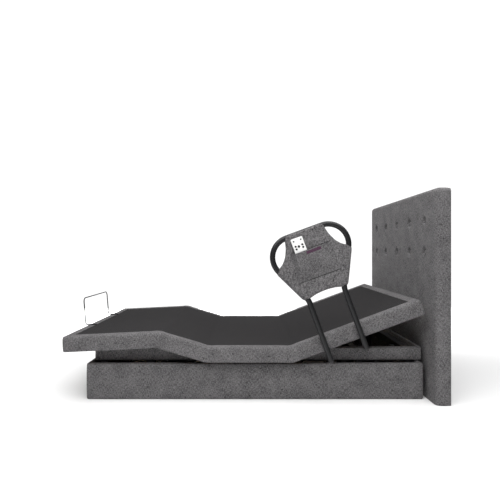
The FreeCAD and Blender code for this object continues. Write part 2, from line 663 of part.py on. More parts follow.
# back section
BACK_TUBES_X = (268.0, 925.0)
MOUNT_HALF = 130.0
MOUNT_LOW = 222.0
back_x0 = BACK_HINGE_X + FOLD_GAP
head_band_x = HEAD_X - SKIRT_T
head_strip_x = HEAD_X - BORDER
back_low_x = BACK_HINGE_X + VALLEY_GAP
export("back_board", deck_board(back_x0, head_band_x), back)
export("back_top_panel", top_panel(back_x0, head_strip_x), back)
back_profile = [(back_x0, DECK_TOP), (back_low_x, SKIRT_BREAK_Z), (back_low_x, SKIRT_BOTTOM),
                (HEAD_X, SKIRT_BOTTOM), (HEAD_X, DECK_TOP)]
far_skirt = side_skirt(back_profile, back_x0, head_strip_x)
bolt_places = [(RAIL_X + dx, z) for dx in (-RAIL_LEG_HALF, RAIL_LEG_HALF) for z in RAIL_BOLT_Z]
bolt_hole_r = RAIL_BOLT_R + LOOSE_GAP
near_skirt = mirrored(far_skirt)
mount_plate = box(RAIL_X - MOUNT_HALF, RAIL_X + MOUNT_HALF, -SKIRT_IN, PLATE_T - SKIRT_IN,
                  MOUNT_LOW, BOARD_LOW)
for x, z in bolt_places:
    bolt_hole = rod((x, -DECK_HALF - OVER, z), (0, 1, 0), bolt_hole_r, SKIRT_T + PLATE_T + 2 * OVER)
    near_skirt = near_skirt.cut(bolt_hole)
    mount_plate = mount_plate.cut(bolt_hole)
head_band = box(head_band_x, HEAD_X, -SKIRT_IN, SKIRT_IN, BOARD_LOW, DECK_TOP)
head_band = head_band.fuse(box(head_strip_x, head_band_x, -SKIRT_IN, SKIRT_IN, BOARD_HIGH, DECK_TOP))
export("back_skirt", [far_skirt, near_skirt, head_band.removeSplitter()], back)
export("back_frame", section_frame(*BACK_TUBES_X, ARM_Y, *BACK_TUBES_X) + [mount_plate], back)
export("back_hinge_leaves", [hinge_leaf(BACK_HINGE_X, y, 1, False) for y in HINGE_Y], back)

# assist rail on the back section
CAP_T = 4.0
PLUG_L = 14.0
BOLT_BITE = 4.0
BOLT_HEAD_R = 7.0
BOLT_HEAD_T = 5.0
slant = math.tan(math.radians(RAIL_SLANT))
corner_dx = RAIL_LEG_HALF + (RAIL_TOP_N - RAIL_BEND_N) * slant
foot_z = DECK_TOP + RAIL_FOOT_N
left = [V(RAIL_X - RAIL_LEG_HALF, RAIL_Y, foot_z),
        V(RAIL_X - RAIL_LEG_HALF, RAIL_Y, DECK_TOP + RAIL_BEND_N),
        V(RAIL_X - corner_dx, RAIL_Y, DECK_TOP + RAIL_TOP_N)]
right = [V(2 * RAIL_X - p.x, p.y, p.z) for p in reversed(left)]
rail_wire = path(left + right, [RAIL_BEND_R, RAIL_LOBE_R, RAIL_LOBE_R, RAIL_BEND_R])
rail_outer = sweep(rail_wire, RAIL_R)
rail = rail_outer.cut(sweep(rail_wire, RAIL_R - WALL))
tube_back_y = RAIL_Y + RAIL_R
spacer_l = -DECK_HALF - tube_back_y
bolt_head_y = PLATE_T - SKIRT_IN
plastic = []
bolts = []
for x, z in bolt_places:
    rail = rail.cut(rod((x, RAIL_Y, z), (0, 1, 0), bolt_hole_r, RAIL_R + OVER))
    ring = rod((x, tube_back_y, z), (0, 1, 0), SPACER_R, spacer_l)
    plastic.append(ring.cut(rod((x, RAIL_Y, z), (0, 1, 0), bolt_hole_r, RAIL_R + spacer_l + OVER)))
    shank = rod((x, tube_back_y - BOLT_BITE, z), (0, 1, 0), RAIL_BOLT_R,
                bolt_head_y - tube_back_y + BOLT_BITE)
    bolts.append(shank.fuse(rod((x, bolt_head_y, z), (0, 1, 0), BOLT_HEAD_R, BOLT_HEAD_T)).removeSplitter())
for x in (RAIL_X - RAIL_LEG_HALF, RAIL_X + RAIL_LEG_HALF):
    cap = rod((x, RAIL_Y, foot_z - CAP_T), (0, 0, 1), RAIL_R, CAP_T)
    plug = rod((x, RAIL_Y, foot_z), (0, 0, 1), RAIL_R - WALL - LOOSE_GAP, PLUG_L)
    plastic.append(cap.fuse(plug).removeSplitter())
export("rail_tube", rail, back)
export("rail_plastic_parts", plastic, back)
export("rail_bolts", bolts, back)

# organiser pad, pocket and tag
FLAT_EDGE_T = 4.0
POUCH_SLOPE = 26.0
TAG_SIDE_GAP = 0.2
TAG_FACE_GAP = 0.1
pad_front = RAIL_Y - PAD_HALF_DEPTH
outline = [(RAIL_X + dx, DECK_TOP + n) for dx, n in PAD_OUTLINE]
outline.append((RAIL_X, DECK_TOP + PAD_LOW_MIDDLE))
outline += [(RAIL_X - dx, DECK_TOP + n) for dx, n in reversed(PAD_OUTLINE)]
pad = prism_y(outline, pad_front, RAIL_Y + PAD_HALF_DEPTH).cut(rail_outer)
export("organiser_pad", max(pad.Solids, key=lambda solid: solid.Volume), back)

pocket_low = DECK_TOP + POCKET_LOW_N
pocket_top = DECK_TOP + POCKET_TOP_N
hand_x = RAIL_X + HANDSET_DX
slot_half = HANDSET_W / 2 + HANDSET_CLEAR
slot_x0 = hand_x - slot_half
slot_x1 = hand_x + slot_half
slot_front = pad_front - HANDSET_T - 2 * HANDSET_CLEAR
pouch_front = slot_front - POCKET_T
pocket_edge_x = RAIL_X + POCKET_HALF
hand_low = DECK_TOP + HANDSET_TOP_N - HANDSET_L
hand_high = hand_low + HANDSET_L
pouch_points = [(slot_x0 - POUCH_SLOPE, pad_front), (slot_x0 - POCKET_T, pouch_front),
                (slot_x1 + POCKET_T, pouch_front), (pocket_edge_x, pad_front - FLAT_EDGE_T),
                (pocket_edge_x, pad_front)]
pouch_loop = [V(x, y, pocket_low) for x, y in pouch_points]
pouch = Part.Face(Part.makePolygon(pouch_loop + pouch_loop[:1])).extrude(V(0, 0, pocket_top - pocket_low))
pouch = pouch.cut(box(slot_x0, slot_x1, slot_front, pad_front + OVER, hand_low - HANDSET_CLEAR,
                      pocket_top + OVER))
export("organiser_pocket", pouch, back)

tag_x = slot_x1 + POCKET_T
tag_slope = math.degrees(math.atan2(pad_front - FLAT_EDGE_T - pouch_front, pocket_edge_x - tag_x))
tag = box(0, TAG_L, -TAG_T, 0, pocket_top - TAG_DROP - TAG_W, pocket_top - TAG_DROP)
tag.rotate(V(0, 0, 0), V(0, 0, 1), tag_slope)
tag.translate(V(tag_x + TAG_SIDE_GAP, pouch_front - TAG_FACE_GAP, 0))
export("organiser_tag", tag, back)

# handset with its push buttons
BUTTON_EDGE_R = 0.8
hand_y0 = slot_front + HANDSET_CLEAR
hand_y1 = hand_y0 + HANDSET_T
case = box(hand_x - HANDSET_W / 2, hand_x + HANDSET_W / 2, hand_y0, hand_y1, hand_low, hand_high)
case = fillet_where(case, HANDSET_EDGE_R, lambda m: abs(m.y - (hand_y0 + hand_y1) / 2) < TOUCH)
for name, (dx, down, radius) in BUTTONS.items():
    z = hand_high - down
    face_y = hand_y0 - BUTTON_PROUD
    case = case.cut(rod((hand_x + dx, hand_y0 - OVER, z), (0, 1, 0), radius + BUTTON_GAP,
                        BUTTON_DEPTH + OVER))
    button = rod((hand_x + dx, face_y, z), (0, 1, 0), radius, BUTTON_DEPTH + BUTTON_GAP)
    button = fillet_where(button, BUTTON_EDGE_R, lambda m: m.y < face_y + TOUCH)
    export("handset_button_" + name, button, back)
export("handset_case", case, back)

# thigh section
KNEE_GAP = 3.0
KNEE_SKIRT_SLOPE = math.tan(math.radians(22.5))
THIGH_TUBES_X = (-480.0, -323.0)
THIGH_OUTER_X = (-514.0, -288.0)
thigh_x0 = KNEE_X + FOLD_GAP
thigh_x1 = THIGH_HINGE_X - FOLD_GAP
knee_spread = KNEE_GAP + (HINGE_Z - SKIRT_BOTTOM) * KNEE_SKIRT_SLOPE
thigh_low_x = THIGH_HINGE_X - VALLEY_GAP
export("thigh_board", deck_board(thigh_x0, thigh_x1), thigh)
export("thigh_top_panel", top_panel(thigh_x0, thigh_x1), thigh)
thigh_profile = [(KNEE_X + KNEE_GAP, DECK_TOP), (KNEE_X + KNEE_GAP, HINGE_Z),
                 (KNEE_X + knee_spread, SKIRT_BOTTOM), (thigh_low_x, SKIRT_BOTTOM),
                 (thigh_low_x, SKIRT_BREAK_Z), (thigh_x1, DECK_TOP)]
export("thigh_skirts", both(side_skirt(thigh_profile, KNEE_X + KNEE_GAP, thigh_x1)), thigh)
export("thigh_frame", section_frame(*THIGH_TUBES_X, ARM_Y, *THIGH_OUTER_X), thigh)
export("thigh_hinge_leaves", [hinge_leaf(THIGH_HINGE_X, y, -1, False) for y in HINGE_Y]
       + [hinge_leaf(KNEE_X, y, 1, True) for y in HINGE_Y] + hinge_pins(KNEE_X), thigh)

# calf section
CALF_RAIL_Y = 335.0
CALF_TUBES_X = (-860.0, -610.0)
CALF_OUTER_X = (-1035.0, -574.0)
LUG_HALF_W = 12.0
LUG_HALF_LINK_T = 4.0
LUG_BELOW_PIN = 14.0
LINK_PIN_R = 5.0
LINK_HOLE_R = 7.3
calf_x1 = KNEE_X - FOLD_GAP
foot_skirt_x = FOOT_X + SKIRT_T
foot_strip_x = FOOT_X + BORDER
calf_profile = [(KNEE_X - KNEE_GAP, DECK_TOP), (KNEE_X - KNEE_GAP, HINGE_Z),
                (KNEE_X - knee_spread, SKIRT_BOTTOM), (FOOT_X, SKIRT_BOTTOM), (FOOT_X, DECK_TOP)]
calf_side = side_skirt(calf_profile, foot_strip_x, KNEE_X - KNEE_GAP)
foot_skirt = box(FOOT_X, foot_skirt_x, -SKIRT_IN, SKIRT_IN, SKIRT_BOTTOM, DECK_TOP)
foot_skirt = foot_skirt.fuse(box(foot_skirt_x, foot_strip_x, -SKIRT_IN, SKIRT_IN, BOARD_HIGH, DECK_TOP))
export("calf_skirt", both(calf_side) + [foot_skirt.removeSplitter()], calf)
calf_frame = section_frame(*CALF_TUBES_X, CALF_RAIL_Y, *CALF_OUTER_X)
calf_frame.append(hollow_y(CALF_OUTER_X[0], CALF_OUTER_X[0] + FRAME_W, -FRAME_HALF, FRAME_HALF,
                           FRAME_LOW, BOARD_LOW))
lug_x = KNEE_X - LINK_ALONG
lug_z = HINGE_Z - LINK_DROP
lug = box(lug_x - LUG_HALF_W, lug_x + LUG_HALF_W, CALF_RAIL_Y - LUG_HALF_LINK_T,
          CALF_RAIL_Y + LUG_HALF_LINK_T, lug_z - LUG_BELOW_PIN, FRAME_LOW)
lug = lug.cut(rod((lug_x, CALF_RAIL_Y - PLATE_T, lug_z), (0, 1, 0), LINK_HOLE_R, 2 * PLATE_T))
export("calf_frame", calf_frame + both(lug), calf)
export("calf_hinge_leaves", [hinge_leaf(KNEE_X, y, -1, False) for y in HINGE_Y], calf)

# mattress retainer: one bent wire let into the calf board
WIRE_ROOT_R = 5.0
WIRE_BASE_R = 14.0
WIRE_TOP_R = 26.0
WIRE_CLEAR = 2.0
wire_x = FOOT_X - RETAINER_OVERHANG
wire_in = FOOT_X + RETAINER_INSET
wire_low_z = DECK_TOP + RETAINER_R + WIRE_CLEAR
wire_loop = [V(wire_in, -RETAINER_HALF, BOARD_LOW), V(wire_in, -RETAINER_HALF, wire_low_z),
             V(wire_x + RETAINER_OVERHANG, -RETAINER_HALF, wire_low_z),
             V(wire_x, -RETAINER_HALF, DECK_TOP + RETAINER_H)]
wire_loop += [V(p.x, -p.y, p.z) for p in reversed(wire_loop)]
bend_radii = [WIRE_ROOT_R, WIRE_BASE_R, WIRE_TOP_R]
export("mattress_retainer", sweep(path(wire_loop, bend_radii + bend_radii[::-1]), RETAINER_R), calf)
wire_holes = Part.makeCompound([rod((wire_in, y, BOARD_LOW - OVER), (0, 0, 1), RETAINER_R + LOOSE_GAP,
                                    BOARD_T + PAD_T + 2 * OVER) for y in (-RETAINER_HALF, RETAINER_HALF)])
export("calf_board", deck_board(foot_skirt_x, calf_x1).cut(wire_holes), calf)
export("calf_top_panel", top_panel(foot_strip_x, calf_x1).cut(wire_holes), calf)

# lift weldments, drawn toward +X; the leg lift is the mirror image
lever_angle, pin_shift = lever_pose(HEAD_ARM_RATIO, BACK_REST, BACK_TRAVEL)
arm_plate, arm_tip = lift_arm(head_pivot_x, HEAD_ARM, HEAD_ARM_REST, HEAD_CRANK_REACH, HEAD_CRANK_DROP)
lever = slotted_lever(head_pivot_x, -ACTUATOR_Y, lever_angle)
export("head_lift", lift_weldment(head_pivot_x, arm_plate, lever))
export("head_lift_shoes", lift_shoes(arm_tip))
export("head_actuator", actuator_body(-ACTUATOR_Y, HEAD_TUBE_END))
export("head_actuator_rod", actuator_rod(-ACTUATOR_Y, head_pivot_x + pin_shift, HEAD_ROD_BACK))

lever_angle, pin_shift = lever_pose(LEG_ARM_RATIO, THIGH_REST, THIGH_TRAVEL)
arm_plate, arm_tip = lift_arm(-leg_pivot_x, LEG_ARM, LEG_ARM_REST, LEG_CRANK_REACH, LEG_CRANK_DROP)
lever = slotted_lever(-leg_pivot_x, ACTUATOR_Y, lever_angle)
export("leg_lift", mirrored_x(lift_weldment(-leg_pivot_x, arm_plate, lever)))
export("leg_lift_shoes", [mirrored_x(shoe) for shoe in lift_shoes(arm_tip)])
export("leg_actuator", mirrored_x(actuator_body(ACTUATOR_Y, LEG_TUBE_END)))
export("leg_actuator_rod", [mirrored_x(piece) for piece in
                            actuator_rod(ACTUATOR_Y, -leg_pivot_x + pin_shift, LEG_ROD_BACK)])

# calf links, a swinging frame on the chassis
LINK_HALF_T = 4.0
LINK_HALF_W = 10.0
LINK_HUB_R = 14.0
LINK_TUBE_R = 12.0
LINK_TUBE_BORE_R = 9.5
LINK_STUB_END = 367.5
LINK_PIN_END = 325.0
link_low_y = LINK_Y - LINK_HALF_T
link_bar = box(-LINK_LENGTH, 0, link_low_y, LINK_Y + LINK_HALF_T, -LINK_HALF_W, LINK_HALF_W)
link_bar = link_bar.fuse([rod((-LINK_LENGTH, link_low_y, 0), (0, 1, 0), LINK_HALF_W, 2 * LINK_HALF_T),
                          rod((0, link_low_y, 0), (0, 1, 0), LINK_HUB_R, 2 * LINK_HALF_T),
                          rod((0, LINK_Y, 0), (0, 1, 0), LINK_STUB_R, LINK_STUB_END - LINK_Y),
                          rod((-LINK_LENGTH, LINK_PIN_END, 0), (0, 1, 0), LINK_PIN_R,
                              LINK_Y - LINK_PIN_END)])
links = link_bar.fuse([mirrored(link_bar), cross_bar(0, 0, LINK_TUBE_R, LINK_Y)])
links = links.cut(cross_bar(0, 0, LINK_TUBE_BORE_R, LINK_Y - 2 * LINK_HALF_T)).removeSplitter()
links.rotate(V(0, 0, 0), V(0, 1, 0), LINK_REST)
links.translate(V(LINK_X, 0, LINK_Z))
export("calf_links", links)
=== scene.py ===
import json
import math

import bpy
import numpy as np
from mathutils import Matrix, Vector


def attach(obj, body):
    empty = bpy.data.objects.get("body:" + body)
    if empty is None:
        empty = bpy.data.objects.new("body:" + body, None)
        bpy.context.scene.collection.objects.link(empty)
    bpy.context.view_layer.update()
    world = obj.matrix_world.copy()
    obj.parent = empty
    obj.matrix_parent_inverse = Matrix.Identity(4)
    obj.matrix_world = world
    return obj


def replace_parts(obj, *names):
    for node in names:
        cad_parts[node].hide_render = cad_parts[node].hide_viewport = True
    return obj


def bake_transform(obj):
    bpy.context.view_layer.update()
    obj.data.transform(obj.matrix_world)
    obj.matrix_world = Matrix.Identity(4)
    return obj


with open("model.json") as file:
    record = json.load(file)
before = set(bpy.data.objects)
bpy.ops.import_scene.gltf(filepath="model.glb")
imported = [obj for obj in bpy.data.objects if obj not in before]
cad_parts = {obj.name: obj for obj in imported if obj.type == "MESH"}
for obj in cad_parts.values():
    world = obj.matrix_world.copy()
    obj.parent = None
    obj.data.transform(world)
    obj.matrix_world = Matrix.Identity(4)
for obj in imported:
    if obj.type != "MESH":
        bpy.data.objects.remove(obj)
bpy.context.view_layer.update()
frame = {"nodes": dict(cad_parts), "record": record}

# ---- the deck's dimensions, in metres; angles are those of the stored pose ---------------
HINGE_Z = 0.290
BACK_HINGE, THIGH_HINGE, KNEE = 0.198, -0.258, -0.544
BACK_ANGLE, THIGH_ANGLE, KNEE_ANGLE = map(math.radians, (20.2, 16.4, 19.106))
FOLD = 0.046  # how far a cover's bend reaches on each side of its hinge
HEAD_X, FOOT_X, DECK_HALF = 0.958, -1.071, 0.535
DECK_TOP = 0.305
BORDER = 0.052  # width of the upholstered border round the dark panel
SPLIT_SEAT, SPLIT_THIGH = -0.030, -0.401  # where the cover is cut into three


# ---- materials -----------------------------------------------------------------
def new_material(name):
    m = bpy.data.materials.new(name)
    m.use_nodes = True
    nt = m.node_tree
    return m, nt, nt.nodes["Principled BSDF"]


def add(nt, kind, **settings):
    n = nt.nodes.new(kind)
    for key, value in settings.items():
        if key in n.inputs:
            n.inputs[key].default_value = value
        else:
            setattr(n, key, value)
    return n


def maths(nt, operation, a, b=None):
    n = nt.nodes.new("ShaderNodeMath")
    n.operation = operation
    for socket, value in zip(n.inputs, (a, b)):
        if value is None:
            continue
        if isinstance(value, (int, float)):
            socket.default_value = value
        else:
            nt.links.new(value, socket)
    return n.outputs[0]


def coordinates(nt, use_uv, scale):
    tc = add(nt, "ShaderNodeTexCoord")
    mp = add(nt, "ShaderNodeMapping", Scale=scale)
    nt.links.new(tc.outputs["UV" if use_uv else "Object"], mp.inputs["Vector"])
    return mp.outputs["Vector"]


def noise(nt, vector, scale, detail=2.0, rough=0.5):
    n = add(nt, "ShaderNodeTexNoise", Scale=scale, Detail=detail, Roughness=rough)
    nt.links.new(vector, n.inputs["Vector"])
    return n.outputs["Fac"]


def ramp(nt, fac, stops):
    n = add(nt, "ShaderNodeValToRGB")
    while len(n.color_ramp.elements) < len(stops):
        n.color_ramp.elements.new(0.5)
    for e, (pos, col) in zip(n.color_ramp.elements, stops):
        e.position = pos
        e.color = (*col, 1)
    nt.links.new(fac, n.inputs["Fac"])
    return n.outputs["Color"]


def bump(nt, bsdf, height, strength, distance):
    n = add(nt, "ShaderNodeBump", Strength=strength, Distance=distance)
    nt.links.new(height, n.inputs["Height"])
    nt.links.new(n.outputs["Normal"], bsdf.inputs["Normal"])


def weighted(nt, *terms):
    """The sum of (value, weight) terms."""
    total = None
    for value, weight in terms:
        part = maths(nt, "MULTIPLY", value, weight)
        total = part if total is None else maths(nt, "ADD", total, part)
    return total


YARN_SCALE, SLUB_SCALE, PATCH_SCALE = 420, 170, 14
YARN_RANGE = 0.085  # half the spread of the mixed noise that the two tints span
WAVE_SCALE = 2 * math.pi / 20  # a wave texture's bands per metre at a scale of one


def woven(name, low, high, uv=True, pitch=0.0016, contrast=1.0, sheen=0.08):
    """Heathered plain weave: slubby warp and weft threads of mixed yarn."""
    m, nt, bsdf = new_material(name)
    flat = coordinates(nt, uv, (1, 1, 1))
    warp = coordinates(nt, uv, (1, 0.16, 1 if uv else 0.16))
    weft = coordinates(nt, uv, (0.16, 1, 1))
    a = noise(nt, warp, YARN_SCALE, 3, 0.65)
    b = noise(nt, weft, YARN_SCALE, 3, 0.65)
    c = noise(nt, flat, SLUB_SCALE, 4, 0.7)
    d = noise(nt, flat, PATCH_SCALE, 3, 0.55)
    yarn = weighted(nt, (a, 0.36), (b, 0.30), (c, 0.24), (d, 0.10))
    half = YARN_RANGE / contrast
    tint = ramp(nt, yarn, [(0.5 - half, low), (0.5 + half, high)])
    nt.links.new(tint, bsdf.inputs["Base Color"])
    rough = maths(nt, "ADD", maths(nt, "MULTIPLY", c, 0.18), 0.78)
    nt.links.new(rough, bsdf.inputs["Roughness"])
    freq = WAVE_SCALE / pitch
    threads = []
    for direction in ("X", "Y"):
        w = add(nt, "ShaderNodeTexWave", Scale=freq, Distortion=1.4, Detail=2.0,
                bands_direction=direction)
        w.inputs["Detail Scale"].default_value = 0.4
        nt.links.new(flat, w.inputs["Vector"])
        threads.append(w.outputs["Fac"])
    crossed = maths(nt, "MULTIPLY", *threads)
    weave = maths(nt, "ADD", crossed, maths(nt, "MULTIPLY", a, 0.8))
    weave = maths(nt, "ADD", weave, maths(nt, "MULTIPLY", c, 1.6))
    bump(nt, bsdf, weave, 0.55, 0.0006)
    bsdf.inputs["Sheen Weight"].default_value = sheen
    bsdf.inputs["Sheen Roughness"].default_value = 0.45
    bsdf.inputs["Specular IOR Level"].default_value = 0.25
    return m


def coated(name, colour, rough, metallic=0.0, grain=900, strength=0.12, coat=0.0, specular=0.5):
    """Powder coat, moulded plastic, plated steel or nylon with a fine surface texture."""
    m, nt, bsdf = new_material(name)
    obj = coordinates(nt, False, (1, 1, 1))
    fine = noise(nt, obj, grain, 3, 0.6)
    broad = noise(nt, obj, 25, 3, 0.5)
    dark = tuple(c * 0.86 for c in colour)
    nt.links.new(ramp(nt, broad, [(0.3, dark), (0.7, colour)]), bsdf.inputs["Base Color"])
    spread = maths(nt, "ADD", maths(nt, "MULTIPLY", fine, 0.14), rough - 0.07)
    nt.links.new(spread, bsdf.inputs["Roughness"])
    bsdf.inputs["Metallic"].default_value = metallic
    bsdf.inputs["Coat Weight"].default_value = coat
    bsdf.inputs["Specular IOR Level"].default_value = specular
    bump(nt, bsdf, fine, strength, 0.0002)
    return m


def timber(name):
    m, nt, bsdf = new_material(name)
    grain = coordinates(nt, False, (3, 40, 12))
    n = noise(nt, grain, 3.0, 6, 0.6)
    nt.links.new(ramp(nt, n, [(0.3, (0.36, 0.24, 0.13)), (0.7, (0.62, 0.47, 0.30))]),
                 bsdf.inputs["Base Color"])
    bsdf.inputs["Roughness"].default_value = 0.55
    bump(nt, bsdf, n, 0.2, 0.0004)
    return m


GREY_LOW, GREY_HIGH = (0.014, 0.013, 0.014), (0.200, 0.193, 0.197)
cloth = woven("upholstery_cloth", GREY_LOW, GREY_HIGH)
cloth_object = woven("upholstery_cloth_solid", GREY_LOW, GREY_HIGH, uv=False)
dark_cloth = woven("dark_nonslip_cloth", (0.0150, 0.0140, 0.0145), (0.0230, 0.0215, 0.0225),
                   pitch=0.0022, contrast=0.8, sheen=0.0)
# near-black cord cloth: much darker than the upholstery, so the pocket's bottom stitching shows as a
# dark line; along the pocket's opening this cord is painted shadow
cord_and_shadow_cloth = woven("seam_and_shadow_cord", (0.008, 0.008, 0.008), (0.026, 0.025, 0.026), uv=False,
               contrast=0.8)
tag_cloth = woven("tag_cloth", (0.040, 0.018, 0.034), (0.085, 0.040, 0.070), pitch=0.001,
                  contrast=0.8)

BY_SLOT = {
    "upholstery": cloth_object,
    "dark_fabric": dark_cloth,
    "tag_fabric": tag_cloth,
    "plywood": timber("plywood_board"),
    "frame_steel": coated("frame_powder_coat", (0.045, 0.046, 0.05), 0.5, 0.0, 1400, 0.25),
    "black_steel": coated("black_powder_coat", (0.010, 0.010, 0.011), 0.36, 0.0, 1600, 0.2,
                          specular=0.3),
    "zinc_steel": coated("zinc_plate", (0.58, 0.59, 0.60), 0.32, 1.0, 500, 0.08),
    "black_plastic": coated("black_moulding", (0.02, 0.02, 0.021), 0.5, 0.0, 1200, 0.3),
    "grey_plastic": coated("grey_moulding", (0.10, 0.10, 0.105), 0.48, 0.0, 1200, 0.3),
    "white_nylon": coated("nylon", (0.72, 0.71, 0.68), 0.4, 0.0, 700, 0.1),
    "white_plastic": coated("white_moulding", (0.86, 0.86, 0.85), 0.34, 0.0, 1500, 0.08, 0.15),
    "button_rubber": coated("button_rubber", (0.012, 0.012, 0.013), 0.6, 0.0, 900, 0.2),
    "rubber": coated("bumper_rubber", (0.02, 0.02, 0.02), 0.7, 0.0, 700, 0.3),
}
for entry in frame["record"]["subparts"]:
    node = frame["nodes"][entry["node"]]
    node.data.materials.clear()
    node.data.materials.append(BY_SLOT[entry["material_slot"]])


# ---- mesh helpers ----------------------------------------------------------------
def build(name, points, faces, uvs=None, material=cloth):
    """A smooth-shaded mesh; uvs hold the cloth's own flat position of each point, in metres."""
    mesh = bpy.data.meshes.new(name)
    mesh.from_pydata([tuple(p) for p in points], [], [tuple(f) for f in faces])
    mesh.polygons.foreach_set("use_smooth", [True] * len(mesh.polygons))
    if uvs is not None:
        layer = mesh.uv_layers.new(name="cloth")
        index = np.zeros(len(mesh.loops), int)
        mesh.loops.foreach_get("vertex_index", index)
        layer.data.foreach_set("uv", np.asarray(uvs, float)[index].ravel())
    mesh.materials.append(material)
    mesh.validate()
    mesh.update()
    obj = bpy.data.objects.new(name, mesh)
    bpy.context.scene.collection.objects.link(obj)
    return obj


def grid_faces(rows, columns, wrap=False):
    faces = []
    for i in range(rows if wrap else rows - 1):
        for j in range(columns - 1):
            a, b = i * columns + j, ((i + 1) % rows) * columns + j
            faces.append((a, b, b + 1, a + 1))
    return faces


def smooth_step(t):
    t = np.clip(t, 0, 1)
    return t * t * (3 - 2 * t)


def turn(points, pivot, angle):
    """Turn (n, 3) points about a line along Y; positive lifts the +X side."""
    x, z = points[:, 0] - pivot[0], points[:, 2] - pivot[1]
    c, s = np.cos(angle), np.sin(angle)
    out = points.copy()
    out[:, 0] = pivot[0] + x * c - z * s
    out[:, 2] = pivot[1] + x * s + z * c
    return out


def folded(flat, pivot, angle, start, end):
    s, e = np.array(start), np.array(end)
    d = e - s
    rest = flat.copy()
    for _ in range(25):
        w = smooth_step(((rest - s) @ d) / (d @ d))
        rest = turn(flat, pivot, w * angle)
    return rest


def on_thigh(x):
    """Where a point of the raised thigh section's hinge plane lies in the stored pose."""
    return turn(np.array([[x, 0.0, HINGE_Z]]), (THIGH_HINGE, HINGE_Z), -THIGH_ANGLE)[0]


knee_pivot = on_thigh(KNEE)
back_fold_end = turn(np.array([[BACK_HINGE + FOLD, 0, HINGE_Z]]), (BACK_HINGE, HINGE_Z), BACK_ANGLE)
FOLDS = {
    "back": ((BACK_HINGE - FOLD, 0, HINGE_Z), tuple(back_fold_end[0])),
    "thigh": ((THIGH_HINGE + FOLD, 0, HINGE_Z), tuple(on_thigh(THIGH_HINGE - FOLD))),
}
calf_point = turn(np.array([[KNEE - FOLD, 0.0, HINGE_Z]]), (KNEE, HINGE_Z), KNEE_ANGLE)
calf_point = turn(calf_point, (THIGH_HINGE, HINGE_Z), -THIGH_ANGLE)[0]
FOLDS["calf"] = (tuple(on_thigh(KNEE + FOLD)), tuple(calf_point))


def to_rest(flat, part):
    """Carry flat deck points to the stored pose of one cover."""
    if part == "back":
        return folded(flat, (BACK_HINGE, HINGE_Z), BACK_ANGLE, *FOLDS["back"])
    if part == "thigh":
        return folded(flat, (THIGH_HINGE, HINGE_Z), -THIGH_ANGLE, *FOLDS["thigh"])
    lifted = turn(flat, (THIGH_HINGE, HINGE_Z), -THIGH_ANGLE)
    return folded(lifted, (knee_pivot[0], knee_pivot[2]), KNEE_ANGLE, *FOLDS["calf"])


# ---- deck cover: border, skirt and hem as one loop, then cut at mid seat and mid thigh --
def rounded_loop(x0, x1, y0, y1, radius, breaks, step=0.008):
    """Stations round a rectangle's edge, and the function that places one at an inset."""
    def spaced(a, b):
        cuts = sorted([a, b] + [c for c in breaks if min(a, b) < c < max(a, b)])
        values = [cuts[0]]
        for lo, hi in zip(cuts, cuts[1:]):
            n = max(1, round((hi - lo) / step))
            values += list(np.linspace(lo, hi, n + 1)[1:])
        return values if a < b else values[::-1]

    stations = []
    xs = spaced(x0 + radius, x1 - radius)
    ys = list(np.linspace(y0 + radius, y1 - radius, max(2, round((y1 - y0) / 0.012))))
    arc = np.linspace(0, math.pi / 2, 8)[1:-1]
    stations += [("x", x, -1) for x in xs]
    stations += [("c", a - math.pi / 2, (1, -1)) for a in arc]
    stations += [("y", y, 1) for y in ys]
    stations += [("c", a, (1, 1)) for a in arc]
    stations += [("x", x, 1) for x in xs[::-1]]
    stations += [("c", a + math.pi / 2, (-1, 1)) for a in arc]
    stations += [("y", y, -1) for y in ys[::-1]]
    stations += [("c", a + math.pi, (-1, -1)) for a in arc]

    def at(station, inset):
        kind, value, side = station
        if kind == "x":
            y = (y1 - inset) if side > 0 else (y0 + inset)
            return min(max(value, x0 + inset), x1 - inset), y
        if kind == "y":
            x = (x1 - inset) if side > 0 else (x0 + inset)
            return x, min(max(value, y0 + inset), y1 - inset)
        r = max(radius - inset, 0.0)
        reach = inset + r if inset > 0 else radius
        cx = x1 - reach if side[0] > 0 else x0 + reach
        cy = y1 - reach if side[1] > 0 else y0 + reach
        return cx + r * math.cos(value), cy + r * math.sin(value)

    return stations, at


# inset from the deck's edge and height, from the panel's seam round the skirt and back in
SIDE_PROFILE = [
    (0.0520, 0.3030), (0.0505, 0.3046), (0.0480, 0.3053), (0.0400, 0.3058), (0.0280, 0.3060),
    (0.0180, 0.3057), (0.0110, 0.3046), (0.0055, 0.3022), (0.0020, 0.2985), (0.0003, 0.2935),
    (-0.0006, 0.2860), (-0.0011, 0.2720), (-0.0012, 0.2560), (-0.0009, 0.2400), (0.0000, 0.2280),
    (0.0012, 0.2225), (0.0035, 0.2198), (0.0070, 0.2190), (0.0105, 0.2198), (0.0130, 0.2225),
    (0.0140, 0.2280), (0.0140, 0.2560), (0.0140, 0.2820), (0.0160, 0.2838), (0.0300, 0.2838)]
HEAD_BAND_LOW = 0.2825  # the head end's band is shallow, because the inner plinth is under it
stations, edge_at = rounded_loop(FOOT_X, HEAD_X, -DECK_HALF, DECK_HALF, 0.020,
                                 (SPLIT_SEAT, SPLIT_THIGH, BACK_HINGE, THIGH_HINGE, KNEE))
flat, arc_v = [], []
for st in stations:
    head_end = (st[0] == "y" and st[2] > 0)
    v = 0.0
    last = None
    for inset, z in SIDE_PROFILE:
        if head_end:
            z = max(z, HEAD_BAND_LOW + 0.02 * (z - 0.219))
        x, y = edge_at(st, inset)
        if last is not None:
            v += math.dist(last, (inset, z))
        last = (inset, z)
        flat.append((x, y, z))
        arc_v.append(v)
flat = np.array(flat)
columns = len(SIDE_PROFILE)
run_u = []
length = 0.0
previous = None
for st in stations:
    p = edge_at(st, 0.0)
    length += math.dist(previous, p) if previous else 0.0
    previous = p
    run_u += [length] * columns
cover_uv = np.column_stack([run_u, arc_v])
